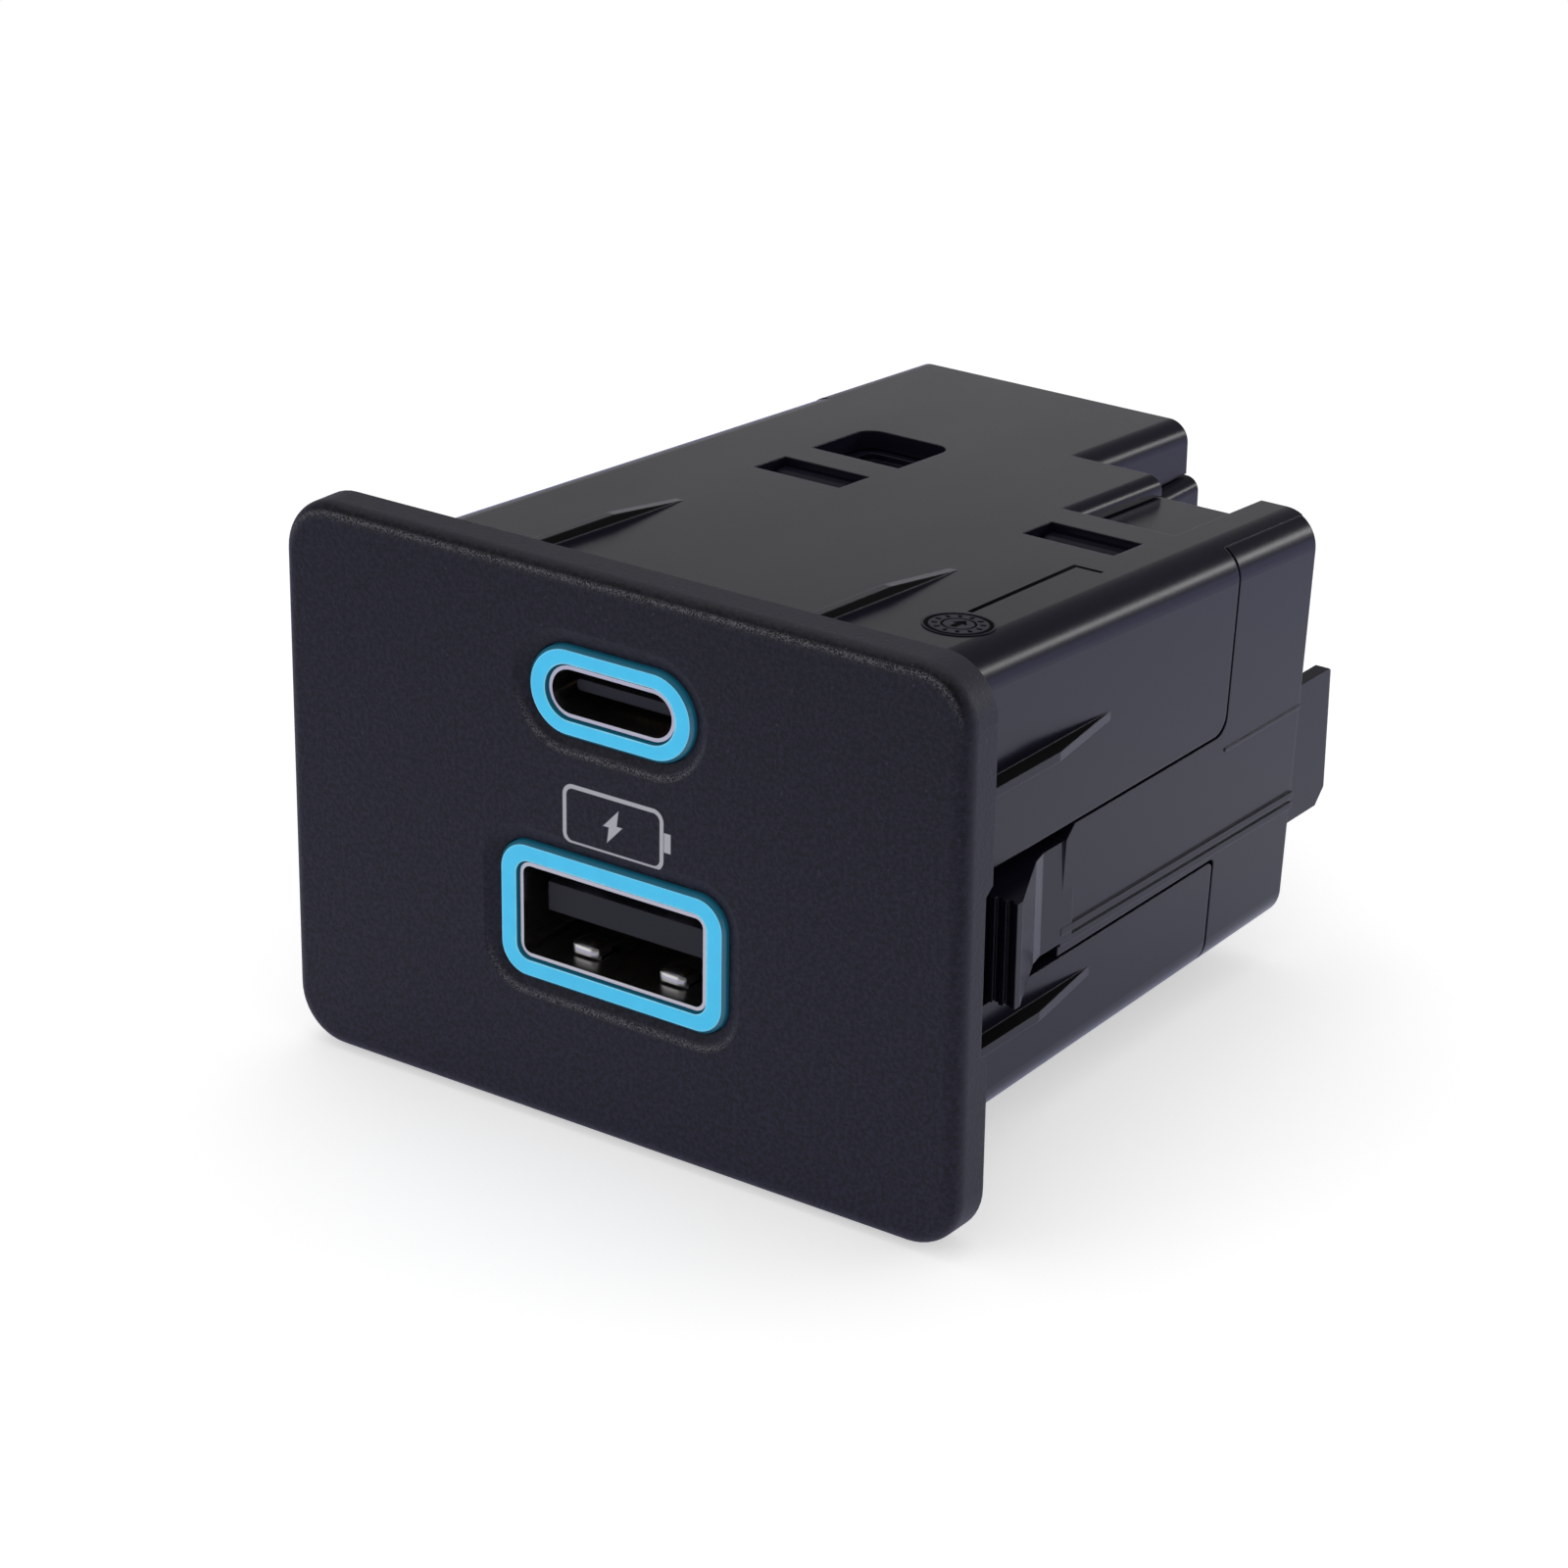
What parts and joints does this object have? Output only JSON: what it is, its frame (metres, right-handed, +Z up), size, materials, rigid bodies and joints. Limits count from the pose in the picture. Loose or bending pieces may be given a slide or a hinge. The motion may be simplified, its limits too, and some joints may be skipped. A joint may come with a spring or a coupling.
{
  "type": "vehicle usb socket module",
  "caption": "Snap-in dashboard module with a rectangular face plate, a USB-C port above a USB-A port in lit blue rings, and a boxed body with a wiring connector behind.",
  "frame": {"origin": "middle of the face plate's seating side, where the panel opening's outer face lies", "axes": "+X to the right and +Z up as seen from the cabin, +Y into the dashboard"},
  "size_m": [0.048, 0.0579, 0.0348],
  "materials": {
    "face_plastic": "fine-grained",
    "housing_plastic": "satin",
    "light_guide": "milky",
    "connector_metal": "nickel-plated",
    "tongue_plastic": "smooth",
    "contact_gold": "gold-plated",
    "board": "lacquered",
    "lamp": "clear",
    "chip_plastic": "moulded",
    "header_plastic": "moulded",
    "pin_metal": "tin-plated",
    "ferrite": "fired",
    "can_metal": "drawn",
    "ceramic": "fired"
  },
  "bodies": {
    "root": {"front_shell": "face_plastic", "rear_housing": "housing_plastic", "light_ring_upper": "light_guide", "light_ring_lower": "light_guide", "usb_c_shell": "connector_metal", "usb_a_shell": "connector_metal", "usb_c_tongue": "tongue_plastic", "usb_a_tongue": "tongue_plastic", "usb_c_contacts": "contact_gold", "usb_a_contacts": "contact_gold", "front_board": "board", "main_board": "board", "ring_leds": "lamp", "surge_arrays": "chip_plastic", "hub_chip": "chip_plastic", "regulator_chip": "chip_plastic", "link_header": "header_plastic", "rear_header": "header_plastic", "link_pins": "pin_metal", "rear_pins": "pin_metal", "power_inductor": "ferrite", "bulk_capacitors": "can_metal", "ceramic_capacitors": "ceramic", "crystal": "can_metal", "input_fuse": "ceramic"}
  },
  "joints": []
}
